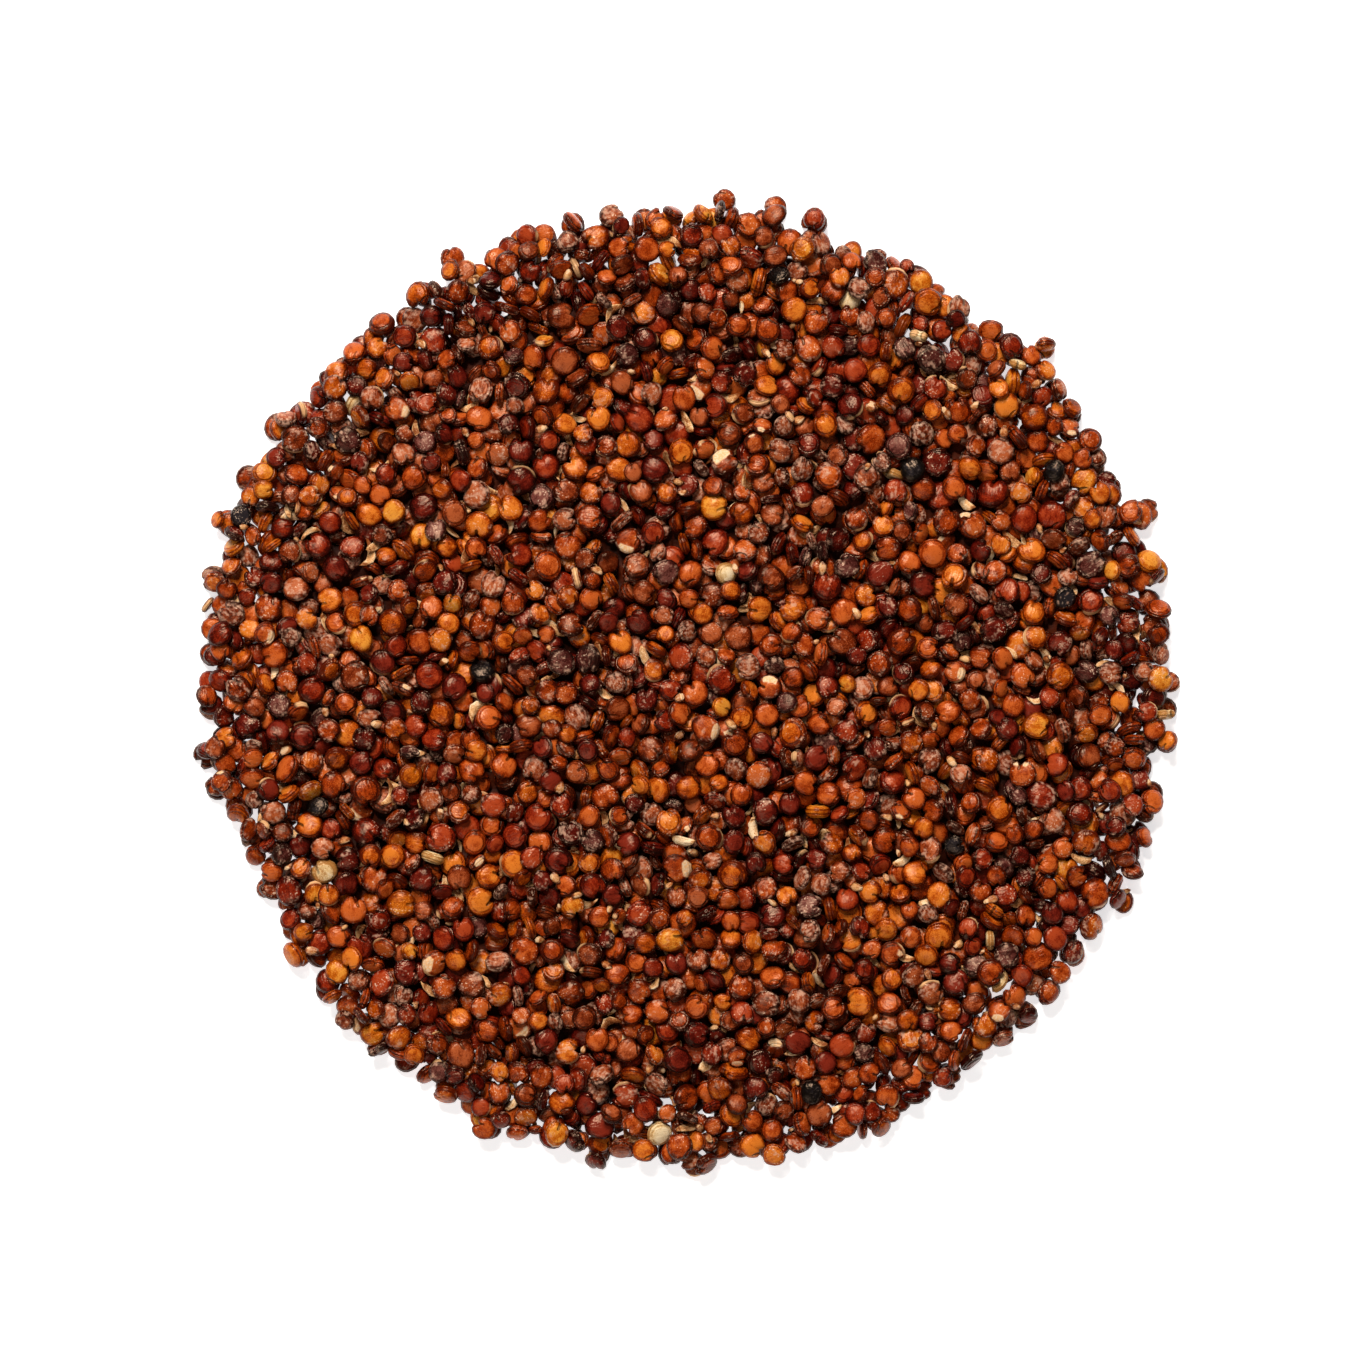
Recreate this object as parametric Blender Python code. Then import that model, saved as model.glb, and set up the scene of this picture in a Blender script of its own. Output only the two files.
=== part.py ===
"""A shallow round heap of dry red quinoa grains, lying as it was tipped out.

The heap is one closed solid. Its underside is flat, its outline bulges where grains stand out at
the edge, and its top is a field of grain crowns with a hollow between each three of them.
"""

import math

import bmesh
import bpy
import numpy as np
from mathutils import Vector
from mathutils.geometry import delaunay_2d_cdt

NAME = "quinoa_heap"
MM = 0.001
SEED = 112

# Driving dimensions of one grain and of the heap
GRAIN_RADIUS = 1.0 * MM
GRAIN_SPREAD = 0.09 * MM
CROWN_PITCH = 2.32 * MM
EDGE_HEIGHT = 1.25 * MM
MIDDLE_HEIGHT = 4.0 * MM
HEIGHT_SPREAD = 0.28 * MM
RISE_LENGTH = 8.0 * MM
RIM_HEIGHT = 0.6 * MM
HOLLOW_DEPTH = 0.42 * MM

# Mean reach of the heap from its middle, every 15 degrees from the first bearing, anticlockwise
FIRST_BEARING = 7.5
MEAN_REACH_MM = (
    39.2, 38.9, 38.6, 38.5, 38.5, 38.5, 38.1, 39.0, 38.6, 38.5, 39.2, 39.0,
    39.5, 38.1, 38.9, 38.9, 38.9, 39.2, 39.0, 39.2, 38.9, 38.9, 39.4, 39.4,
)

# Grains that stand out from the edge: x, y and radius in millimetres from the heap's middle
STANDING_GRAINS_MM = (
    (37.3, 14.1, 1.0), (38.1, 9.3, 1.0), (39.3, 0.1, 0.73), (38.9, -4.6, 1.0), (36.6, -12.5, 1.0),
    (35.5, -17.5, 1.0), (27.8, -27.1, 0.65), (2.1, -38.1, 1.0), (0.6, -39.0, 1.0), (-7.0, -38.1, 1.0),
    (-16.0, -35.9, 1.0), (-22.7, -30.7, 0.73), (-29.1, -24.8, 1.0), (-33.8, -16.3, 1.0),
    (-37.9, -8.2, 1.0), (-38.8, -5.8, 1.05), (-38.2, 8.6, 1.0), (-37.0, 13.0, 1.0),
    (-35.4, 16.6, 1.0), (-33.2, 20.7, 1.0), (-18.9, 34.3, 1.0), (-9.2, 37.4, 0.65),
    (-5.9, 37.8, 0.81), (3.2, 39.0, 1.0), (7.2, 38.4, 1.0), (10.5, 37.2, 1.05), (29.0, 27.1, 1.0),
)

# Edge grains lie at this pitch along the outline, their middles this far inside the mean reach
EDGE_PITCH = 2.15 * MM
EDGE_INSET_LEAST = 0.45 * MM
EDGE_INSET_MOST = 1.35 * MM
GRAIN_GAP = 1.7 * MM
NOTCH_DEPTH = 0.95 * MM

OUTLINE_POINTS = 372
CROWN_JITTER = 0.17
CROWN_CLEARANCE = 0.85 * MM
HOLLOW_SPREAD = 0.12 * MM
BASE_RING_POINTS = 12
BASE_RING_RADIUS = 26.0 * MM
TRIANGULATION_EPSILON = 1e-7
INSIDE_CONSTRAINTS = 1

GRAIN_COLOUR = (0.155, 0.034, 0.011, 1.0)
GRAIN_ROUGHNESS = 0.42


def mean_reach(bearings):
    """Distance from the middle to the heap's mean edge at the bearings, straight between values."""
    steps = np.arange(len(MEAN_REACH_MM)) * 360.0 / len(MEAN_REACH_MM) + FIRST_BEARING
    return np.interp(np.degrees(bearings), steps, MEAN_REACH_MM, period=360.0) * MM


def edge_grains(rng):
    """Middles and radii of the grains along the edge.

    A jittered ring of grains follows the mean edge, and gives way to the grains that stand out.
    """
    standing = np.array(STANDING_GRAINS_MM) * MM
    count = int(round(math.tau * np.mean(MEAN_REACH_MM) * MM / EDGE_PITCH))
    bearings = (np.arange(count) + rng.uniform(-0.25, 0.25, count)) * math.tau / count
    inset = rng.uniform(EDGE_INSET_LEAST, EDGE_INSET_MOST, count)
    radii = GRAIN_RADIUS + rng.uniform(-GRAIN_SPREAD, GRAIN_SPREAD, count)
    reach = mean_reach(bearings) - inset
    ring = np.column_stack((reach * np.cos(bearings), reach * np.sin(bearings), radii))
    apart = np.linalg.norm(ring[:, None, :2] - standing[None, :, :2], axis=2)
    return np.vstack((ring[apart.min(axis=1) > GRAIN_GAP], standing))


def outline(rng):
    """Outline points, one for each bearing.

    A ray from the middle leaves a grain of radius R and middle c at c.u + sqrt(R^2 - (c x u)^2),
    where u is the ray's direction. The outline is the farthest of those, and no nearer than the
    mean edge less the depth of a notch between grains.
    """
    bearings = np.arange(OUTLINE_POINTS) * math.tau / OUTLINE_POINTS
    rays = np.column_stack((np.cos(bearings), np.sin(bearings)))
    grains = edge_grains(rng)
    along = rays @ grains[:, :2].T
    across = rays[:, :1] * grains[:, 1] - rays[:, 1:] * grains[:, 0]
    room = grains[:, 2] ** 2 - across ** 2
    leaves = np.where((room > 0.0) & (along > 0.0), along + np.sqrt(np.maximum(room, 0.0)), 0.0)
    reach = np.maximum(leaves.max(axis=1), mean_reach(bearings) - NOTCH_DEPTH)
    points = rays * reach[:, None]
    return points - 0.5 * (points.min(axis=0) + points.max(axis=0))


def distance_inside(points, rim):
    """How far each point lies inside the outline, measured along its bearing."""
    rim_bearings = np.degrees(np.arctan2(rim[:, 1], rim[:, 0]))
    order = np.argsort(rim_bearings)
    rim_reach = np.hypot(rim[:, 0], rim[:, 1])
    bearings = np.degrees(np.arctan2(points[:, 1], points[:, 0]))
    reach = np.interp(bearings, rim_bearings[order], rim_reach[order], period=360.0)
    return reach - np.hypot(points[:, 0], points[:, 1])


def crowns(rim, rng):
    """Tops of the grains: a jittered triangular lattice whose height rises from edge to middle."""
    span = int(np.abs(rim).max() / (CROWN_PITCH * math.sqrt(0.75))) + 2
    rows, columns = np.meshgrid(np.arange(-span, span + 1), np.arange(-span, span + 1))
    rows = rows.ravel()
    x = (columns.ravel() + 0.5 * (rows % 2)) * CROWN_PITCH
    y = rows * CROWN_PITCH * math.sqrt(0.75)
    jitter = rng.uniform(-CROWN_JITTER, CROWN_JITTER, (len(rows), 2)) * CROWN_PITCH
    points = np.column_stack((x, y)) + jitter
    depth = distance_inside(points, rim)
    kept = depth > CROWN_CLEARANCE
    rise = 1.0 - np.exp(-depth[kept] / RISE_LENGTH)
    heights = EDGE_HEIGHT + (MIDDLE_HEIGHT - EDGE_HEIGHT) * rise
    heights += rng.uniform(-HEIGHT_SPREAD, HEIGHT_SPREAD, len(heights))
    return np.column_stack((points[kept], heights))


def base_ring():
    """A ring of points under the heap, which gives its flat underside a few large triangles."""
    bearings = np.arange(BASE_RING_POINTS) * math.tau / BASE_RING_POINTS
    return np.column_stack((np.cos(bearings), np.sin(bearings))) * BASE_RING_RADIUS


def triangles(rim, inner):
    """Delaunay triangles over the rim and the points inside it, as index triples facing up."""
    points = [Vector(point) for point in np.vstack((rim, inner))]
    edges = [(i, (i + 1) % len(rim)) for i in range(len(rim))]
    result = delaunay_2d_cdt(points, edges, [], INSIDE_CONSTRAINTS, TRIANGULATION_EPSILON)
    origin = [sources[0] for sources in result[3]]
    return [[origin[i] for i in face] for face in result[2]]


def add_sheet(bm, rim_verts, inner_verts, faces, facing_up):
    """Add the triangles of the top or the underside, and return them."""
    verts = rim_verts + inner_verts
    made = []
    for face in faces:
        corners = [verts[i] for i in face]
        made.append(bm.faces.new(corners if facing_up else corners[::-1]))
    return made


def heap_mesh():
    """The closed heap: top sheet with hollows, upright rim and flat underside."""
    rng = np.random.default_rng(SEED)
    rim = outline(rng)
    tops = crowns(rim, rng)
    ring = base_ring()

    bm = bmesh.new()
    upper_rim = [bm.verts.new((x, y, RIM_HEIGHT)) for x, y in rim]
    lower_rim = [bm.verts.new((x, y, 0.0)) for x, y in rim]
    crown_verts = [bm.verts.new(point) for point in tops]
    ring_verts = [bm.verts.new((x, y, 0.0)) for x, y in ring]

    top = add_sheet(bm, upper_rim, crown_verts, triangles(rim, tops[:, :2]), True)
    add_sheet(bm, lower_rim, ring_verts, triangles(rim, ring), False)
    count = len(rim)
    for i in range(count):
        j = (i + 1) % count
        bm.faces.new((lower_rim[i], lower_rim[j], upper_rim[j], upper_rim[i]))

    on_rim = set(upper_rim)
    between_crowns = [face for face in top if on_rim.isdisjoint(face.verts)]
    hollows = bmesh.ops.poke(bm, faces=between_crowns)["verts"]
    for hollow in hollows:
        hollow.co.z -= HOLLOW_DEPTH + rng.uniform(-HOLLOW_SPREAD, HOLLOW_SPREAD)

    mesh = bpy.data.meshes.new(NAME)
    bm.to_mesh(mesh)
    bm.free()
    return mesh


def grain_material():
    """Satin red-brown seed coat."""
    material = bpy.data.materials.new("seed_coat")
    material.use_nodes = True
    shader = material.node_tree.nodes["Principled BSDF"]
    shader.inputs["Base Color"].default_value = GRAIN_COLOUR
    shader.inputs["Roughness"].default_value = GRAIN_ROUGHNESS
    shader.inputs["Metallic"].default_value = 0.0
    return material


def main():
    for item in list(bpy.data.objects):
        bpy.data.objects.remove(item, do_unlink=True)
    collection = bpy.data.collections.new(NAME)
    bpy.context.scene.collection.children.link(collection)
    mesh = heap_mesh()
    mesh.materials.append(grain_material())
    collection.objects.link(bpy.data.objects.new(NAME, mesh))


main()
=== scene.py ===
"""Looks of a shallow heap of dry red quinoa: loose seeds, packed over a smaller core in relief.

Lengths are in millimetres until a mesh is made. The heap's middle is at the origin, +Z is up and
+Y is the top of the photograph.
"""

import math

import bpy
import numpy as np
from mathutils import Matrix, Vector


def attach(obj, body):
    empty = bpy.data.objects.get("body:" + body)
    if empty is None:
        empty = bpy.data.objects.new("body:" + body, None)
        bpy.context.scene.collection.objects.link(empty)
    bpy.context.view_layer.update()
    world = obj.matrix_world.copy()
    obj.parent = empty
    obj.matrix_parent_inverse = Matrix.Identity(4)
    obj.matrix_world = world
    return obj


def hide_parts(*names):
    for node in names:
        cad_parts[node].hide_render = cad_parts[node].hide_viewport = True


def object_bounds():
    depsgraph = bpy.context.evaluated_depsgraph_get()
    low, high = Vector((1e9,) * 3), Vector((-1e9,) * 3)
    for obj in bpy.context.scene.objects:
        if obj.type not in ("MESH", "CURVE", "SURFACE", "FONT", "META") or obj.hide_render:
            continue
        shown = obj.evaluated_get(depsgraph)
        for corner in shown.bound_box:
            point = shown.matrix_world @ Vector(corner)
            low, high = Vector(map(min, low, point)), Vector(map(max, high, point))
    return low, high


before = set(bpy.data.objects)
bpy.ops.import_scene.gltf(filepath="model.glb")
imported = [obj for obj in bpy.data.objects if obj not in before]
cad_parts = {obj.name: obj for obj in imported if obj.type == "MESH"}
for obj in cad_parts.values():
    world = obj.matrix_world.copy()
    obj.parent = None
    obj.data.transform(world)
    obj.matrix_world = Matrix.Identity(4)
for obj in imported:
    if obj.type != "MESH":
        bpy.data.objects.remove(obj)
CAD_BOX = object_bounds()

MM = 0.001
SEED = 20
HEAP = "quinoa_heap"
BODY = "root"

# The photograph: its frame, the pixel of the heap's middle, and the real size of a pixel
PHOTO_SIDE = 1366.0
PHOTO_MIDDLE = (686.5, 683.0)
MM_PER_PIXEL = 0.0808

# The foot of the CAD heap: its level, and how far out it lies as a share of the greatest reach
FOOT_LEVEL = 0.01
FOOT_SHARE = 0.8

# Radius of a seed: mean, spread, least and most. Edge seeds have only a least and a most
SEED_SIZES = (1.11, 0.11, 0.78, 1.3)
SMALL_SIZES = (0.8, 0.08, 0.6, 0.94)
EDGE_SIZES = (0.92, 1.22)

# Half a seed's thickness and its lesser radius, as shares of the radius
THICKNESS = (0.38, 0.55)
OVAL = (0.88, 1.0)

# Edge seeds: degrees between the bearings tried, how far a seed stands out, how near two may lie
# as a share of touching, and their tilt in radians
EDGE_STEP = 0.5
EDGE_OUT = 0.05
EDGE_NEAR = 0.97
EDGE_TILT = 0.25

# Tilt of the other seeds, in radians. A draw between 0 and 1 lays one nearly flat below FLAT_DRAW,
# leans it below LEANING_DRAW, and else stands it on edge
FLAT_DRAW = 0.38
LEANING_DRAW = 0.68
FLAT_TILT = 0.28
LEANING_TILT = (0.45, 1.0)
ON_EDGE_TILT = (1.05, 1.57)

# Cover of the heap: how high seeds reach at the edge and in the middle, and how fast that rises
EDGE_TOP = 2.3
MIDDLE_TOP = 3.6
RISE_LENGTH = 8.0

# How far a flat seed may pass the cover, how much more one on edge may, how much more any may over
# a late gap, and the cover of the small seeds
TOP_SPARE = 0.16
LEANING_SPARE = 0.48
GAP_SPARE = 0.45
GAP_TOP = 1.5

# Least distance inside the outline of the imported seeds, of those over late gaps, and of scraps
PACKED_INSIDE = 0.5
GAPS_INSIDE = 1.2
SCRAPS_INSIDE = 1.6

# The core: how far its rim lies inside the outline, how it rises, its seed-like bumps and its grid
CORE_INSET = 5.0
CORE_RIM = 0.3
CORE_SLOPE = 0.35
UNDER_COVER = 2.05
BUMP_PITCH = 2.05
BUMP_HEIGHT = 0.22
CORE_RINGS = 62
CORE_BEARINGS = 240

# The bed is a square grid of cells with the height of the seeds so far: a cell, half the bed, the
# cells a seed reaches each way, the height that keeps seeds out, and the number where none lies
CELL = 0.125
BED_HALF = 41.5
PATCH = 11
BLOCKED = 60.0
NO_SEED = -1

# How far a seed may stand proud of the outline, and how far it stays inside the box
PROUD = 0.3
BOX_SPARE = 0.05

# Search for a seed's place: cells tried, rounds of settling, and misses in a row that end it
CELLS_TRIED = 40
ROUNDS = 3
MISSES_ALLOWED = 400
GAP_MISSES_ALLOWED = 120

# A round of settling: cells slid and radians rocked at first, how many of each are tried, how the
# rocks shrink, and how level their axes are
SLIDE = 3
SLIDES_TRIED = 8
ROCK = 0.3
ROCKS_TRIED = 6
ROCK_SHRINK = 0.7
ROCK_AXES = (1.0, 1.0, 0.3)

# Loose scraps among the seeds: how many, how far under the cover the husks lie, radius, semi-axes
# as shares of it, tilt in radians, and rounds of settling
HUSK_COUNT = 300
HUSK_DEPTH = 0.8
HUSK_RADIUS = (0.5, 1.15)
HUSK_SEMI = (1.0, 0.36, 0.14)
BIT_COUNT = 110
BIT_RADIUS = (0.25, 0.6)
BIT_SEMI = (1.0, 0.6, 0.36)
SCRAP_TILT = 0.5
SCRAP_ROUNDS = 4

# Seeds that show lie this near the edge or have this many cells in view, and rare kinds need more
SHOWING_DEPTH = 4.5
SHOWING_CELLS = 5
RARE_CELLS = 60

# Grid of a seed's coat: points round it and rings between its poles
SEEN_GRID = (16, 5)
BURIED_GRID = (8, 3)
SCRAP_GRID = (12, 3)
CLEFT_CROWDING = 0.22

# Bake map: its name, and how far a coat reaches in its square
BAKE_MAP = "OFBake"
BAKE_REACH = 0.47

# What makes each coat its own, least and most, as shares of its radius or thickness, and how many
# seeds have a cleft
CLEFT_DEPTH = (0.08, 0.5)
CLEFT_SHARE = 0.85
BEAK_REACH = (0.0, 0.16)
LUMP_TWO = (-0.06, 0.06)
LUMP_THREE = (0.0, 0.045)
DISH_DEPTH = (-0.1, 0.42)
SCRAP_LUMP_TWO = (-0.16, 0.16)
SCRAP_LUMP_THREE = (0.02, 0.14)
HUSK_BEND = (0.1, 0.55)

# The cut through a split seed or a bit: how much is left as a share of the reach, while the rest
# stay whole, how strongly the cut faces up, one of two, and how much its direction varies
CUTS = {"split": (0.76, 0.95), "bit": (0.55, 0.85)}
UNCUT = (9.0, 9.1)
CUT_UPWARD = (1.0, 0.6)
CUT_SPREAD = 0.45

# Form of every coat: the powers of its profile, widths and an angle in radians round it, a factor
# of the cleft's depth, and lengths as shares of its radius
PLAN_POWER = 0.66
HEIGHT_POWER = 0.92
CLEFT_WIDTH = 0.26
BEAK_ANGLE = 0.48
BEAK_WIDTH = 0.2
DISH_WIDTH = 0.45
PINCH = 1.4
PINCH_WIDTH = 0.35
BEND_LEVEL = 0.35

# Colours on the photograph's 0 to 255 scale: shaded, middle and bright parts of a coat
COATS = {
    "honey": ((104, 34, 1), (176, 84, 8), (212, 138, 50)),
    "amber": ((76, 16, 1), (160, 63, 5), (204, 112, 36)),
    "russet": ((56, 9, 1), (138, 44, 4), (186, 87, 34)),
    "chestnut": ((44, 8, 1), (108, 34, 6), (164, 80, 42)),
    "brick": ((50, 4, 1), (116, 24, 5), (156, 58, 26)),
    "maroon": ((28, 2, 1), (76, 10, 5), (116, 34, 20)),
    "plum": ((27, 6, 5), (60, 19, 16), (112, 62, 54)),
    "cream": ((160, 106, 52), (212, 176, 124), (238, 214, 176)),
    "black": ((6, 4, 4), (12, 9, 9), (34, 30, 34)),
    "husk": ((122, 60, 22), (212, 158, 104), (242, 214, 176)),
    "bit": ((76, 22, 4), (158, 84, 34), (216, 164, 110)),
}
DUST_COLOUR = (200, 156, 132)
STARCH_COLOUR = (226, 198, 166)
CRUMB_COLOUR = (230, 200, 172)
RIM_COLOUR = (224, 172, 122)
CLEFT_COLOUR = (16, 3, 1)
# The core's dark and light seed-brown, darker than the coats: painted shade of seeds deep in the heap
CORE_SHADE_COLOURS = ((24, 6, 2), (104, 38, 12))
FLOOR_COLOUR = (238, 238, 240)

# Kinds of seed and scrap: share of the heap, least and most dust, roughness, and record slot
KINDS = {
    "honey": (0.025, (-0.4, 0.5), 0.16, "amber_seed"),
    "amber": (0.18, (-0.4, 0.6), 0.15, "amber_seed"),
    "russet": (0.3, (-0.4, 0.6), 0.15, "red_seed"),
    "chestnut": (0.14, (-0.2, 0.7), 0.18, "red_seed"),
    "brick": (0.13, (-0.4, 0.6), 0.15, "red_seed"),
    "maroon": (0.115, (-0.4, 0.6), 0.13, "maroon_seed"),
    "plum": (0.03, (0.2, 0.7), 0.22, "maroon_seed"),
    "dusty": (0.06, (0.7, 1.2), 0.32, "dusty_seed"),
    "split": (0.015, (0.1, 0.5), 0.3, "amber_seed"),
    "cream": (0.0, (0.0, 0.2), 0.24, "cream_seed"),
    "black": (0.0, (0.0, 0.3), 0.08, "black_seed"),
    "husk": (0.0, (0.0, 0.3), 0.5, "husk"),
    "bit": (0.0, (0.2, 0.9), 0.45, "husk"),
}

# Kinds with the colours of another
COAT_OF = {"dusty": "chestnut", "split": "russet"}

# Seeds of a rare kind, by the pixel of the photograph where they show
CREAM_AT = (
    (858, 300), (1007, 346), (1172, 682), (345, 402), (923, 322), (432, 843), (333, 877),
    (655, 1137), (1017, 930), (920, 470), (1006, 975), (732, 568),
)
BLACK_AT = (
    (252, 510), (475, 682), (1062, 472), (908, 478), (313, 803), (955, 840), (822, 1095),
    (783, 283), (1075, 605),
)

# Rare kinds: where they show, and how far a seed on edge is preferred, in millimetres
RARE_KINDS = {"cream": (CREAM_AT, 2.5), "black": (BLACK_AT, 0.0)}

# Drawn for each seed: its tone's beta curve, how many have a mark, and the strength of the marks
TONE_BELL = 2.2
CRESCENT_SHARE = 0.09
RING_SHARE = 0.5
CLEFT_STRENGTH = (0.5, 1.0)
CRESCENT_STRENGTH = (0.5, 1.0)
RING_STRENGTH = (0.2, 0.8)

# Marks on a coat, as shares of its radius: where they lie, and where they fade out and are full
CLEFT_ENDS = (0.38, 1.15)
CLEFT_ROOT = 1.2
CLEFT_HOOK = 2.2
CLEFT_FADE = (0.15, 0.04)
CRESCENT_SIDE = (0.4, 0.75)
CRESCENT_RIM = (0.8, 0.92)
RING_RADIUS = 0.7
RING_FADE = (0.1, 0.02)
# The girdle: a groove at the waist, which the coat also darkens as painted shade
GIRDLE_LEVEL = 0.15
GIRDLE_FADE = (0.08, 0.02)
INSIDE_FADE = (-0.02, 0.03)
# Rim: partly painted shade at each seed's edge, partly a darker rim the coat has
RIM_SHADE_FADE = (0.5, 1.0)

# Noise on a coat: how far apart seeds lie in it, stretch along the wrinkles, scales and details
OWN_SPREAD = (37.0, 71.0, 53.0)
WRINKLE_STRETCH = (1.4, 6.0, 3.0)
PATCH_SCALE = 1.5
MOTTLE_SCALE = 1.3
FLAKE_SCALE = 3.4
FINE_SCALE = 7.0
FLECK_SCALE = 15.0
FINE_DETAIL = 3.0
FLAKE_DETAIL = 4.0

# Dust and crumbs: what adds to the noise, where the noise starts and is full, and the strength
PATCH_DUST = 0.34
PATCH_FADE = (0.68, 0.8)
FLAKE_WRINKLES = 0.5
FLAKE_FADE = (0.66, 0.92)
DUST_STRENGTH = 0.66
CRUMB_FINE = (0.6, 0.66)
CRUMB_MOTTLE = (0.52, 0.57)
CRUMB_DUST = (0.0, 0.35)
CRUMB_STRENGTH = 0.7

# How each thing moves a coat between its three colours, and where the middle and bright ones start
SHADE_START = -0.94
# Of these, rim is partly painted shade and partly a darker rim, and girdle is painted shade
SHADE_WEIGHTS = {
    "tone": 0.7, "mottle": 1.5, "fine": 0.5, "wrinkles": 0.6, "rim": -0.55, "ring": -0.45,
    "girdle": -0.4, "dark flecks": -0.5, "bright flecks": 0.5,
}
DARK_FLECKS = (0.42, 0.3)
BRIGHT_FLECKS = (0.58, 0.7)
MIDDLE_FADE = (0.05, 0.6)
BRIGHT_FADE = (0.5, 1.0)
STARCH_FADE = (0.4, 0.65)
CLEFT_DARKNESS = 0.85

# How each thing adds to the roughness and to the height of a coat
ROUGHNESS_WEIGHTS = {"dust": 0.35, "fine": 0.1, "inside": 0.25}
HEIGHT_WEIGHTS = {"fine": 0.22, "wrinkles": 0.6, "cleft": -1.2, "ring": -0.7, "girdle": -0.5}

# Cells of the core: how uneven they lie, how their tone and crown fade outwards, and fine noise.
# The tone's fade is painted shade, darker where the cells meet
CORE_UNEVEN = 0.8
CORE_SHADE_FADE = (0.75, 0.1)
CORE_CROWN_FADE = (0.7, 0.0)
CORE_FINE_SCALE = 2600.0
CORE_FINE = 0.3
CORE_FINE_HEIGHT = 0.4
CORE_ROUGHNESS = 0.4

# Gloss of the coats and the core, and depth of their fine relief, in metres
COAT_SPECULAR = 0.3
COAT_GLOSS_TINT = (1.0, 0.68, 0.48, 1.0)
CORE_SPECULAR = 0.1
COAT_RELIEF = 0.00009
CORE_RELIEF = 0.0002

# Lights, in metres, degrees and watts: side, lean towards +Y, turn towards -X, and power
LIGHTS = {
    "main_light": (0.26, 46.0, 8.0, 7.2),
    "spark_light": (0.06, 30.0, 22.0, 2.4),
    "side_light": (0.5, -48.0, -30.0, 1.45),
}
LIGHT_COLOUR = (1.0, 0.95, 0.87)
LIGHT_DISTANCE = 0.8
WORLD_COLOUR = (1.0, 0.86, 0.72, 1.0)
WORLD_STRENGTH = 0.12

# The floor: half its side in metres, its own glow, which keeps shadows light, and its gloss
FLOOR_HALF = 1.5
FLOOR_GLOW = 0.78
FLOOR_ROUGHNESS = 0.6
FLOOR_SPECULAR = 0.2

# The camera: its height and the level seen at the photograph's scale, in metres, and its sensor
CAMERA_HEIGHT = 0.5
SCALE_LEVEL = 0.001
SENSOR_MM = 36.0


def photo_place(pixel):
    """Place in the heap's plan of a pixel of the photograph."""
    x = (pixel[0] - PHOTO_MIDDLE[0]) * MM_PER_PIXEL
    return x, (PHOTO_MIDDLE[1] - pixel[1]) * MM_PER_PIXEL


def paint(colour):
    """Linear colour of a 0 to 255 one, by the sRGB curve."""
    share = np.array(colour) / 255.0
    linear = np.where(share > 0.04045, ((share + 0.055) / 1.055) ** 2.4, share / 12.92)
    return (*linear.tolist(), 1.0)


def heap_outline():
    """Bearings and reach of the foot of the CAD heap, in order of bearing."""
    points = np.empty(len(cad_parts[HEAP].data.vertices) * 3)
    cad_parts[HEAP].data.vertices.foreach_get("co", points)
    points = points.reshape(-1, 3) / MM
    reach = np.hypot(points[:, 0], points[:, 1])
    foot = (points[:, 2] < FOOT_LEVEL) & (reach > FOOT_SHARE * reach.max())
    bearing = np.arctan2(points[foot, 1], points[foot, 0])
    order = np.argsort(bearing)
    return bearing[order], reach[foot][order]


OUTLINE_BEARING, OUTLINE_REACH = heap_outline()


def reach_at(bearing):
    """Distance from the middle to the heap's outline at a bearing."""
    return np.interp(bearing, OUTLINE_BEARING, OUTLINE_REACH, period=math.tau)


def depth_at(x, y):
    """Distance inside the outline, measured along the bearing."""
    return reach_at(np.arctan2(y, x)) - np.hypot(x, y)


def cover_height(depth):
    """Height that the seeds reach at a distance inside the outline: it rises and levels off."""
    rise = 1.0 - np.exp(-np.maximum(depth, 0.0) / RISE_LENGTH)
    return EDGE_TOP + (MIDDLE_TOP - EDGE_TOP) * rise


def core_height(x, y):
    """Height of the core's top: it rises from its rim until it lies a set way under the cover.

    The bumps on it are the mean of the cosines of three level waves, 60 degrees apart, which
    peak together at the points of a triangular lattice.
    """
    depth = depth_at(x, y)
    slope = CORE_RIM + CORE_SLOPE * np.maximum(depth - CORE_INSET, 0.0)
    bearings = np.radians((0.0, 60.0, 120.0))
    pitch = BUMP_PITCH * math.sqrt(0.75)
    waves = [np.cos(math.tau * (x * math.cos(b) + y * math.sin(b)) / pitch) for b in bearings]
    bumps = BUMP_HEIGHT * sum(waves) / 3.0
    return np.minimum(slope, cover_height(depth) - UNDER_COVER + bumps)


def turned(axis, angle):
    """Rotation matrices about unit axes, by Rodrigues' formula."""
    x, y, z = axis[..., 0], axis[..., 1], axis[..., 2]
    c, s = np.cos(angle), np.sin(angle)
    t = 1.0 - c
    rows = (
        (c + x * x * t, x * y * t - z * s, x * z * t + y * s),
        (y * x * t + z * s, c + y * y * t, y * z * t - x * s),
        (z * x * t - y * s, z * y * t + x * s, c + z * z * t),
    )
    return np.stack([np.stack(row, axis=-1) for row in rows], axis=-2)


def lying(rng, tilt):
    """A rotation that spins a seed at random in its plane, and tilts it about a random level axis."""
    spin = turned(np.array([0.0, 0.0, 1.0]), rng.uniform(0.0, math.tau))
    lean = rng.uniform(0.0, math.tau)
    return turned(np.array([math.cos(lean), math.sin(lean), 0.0]), tilt) @ spin


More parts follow.
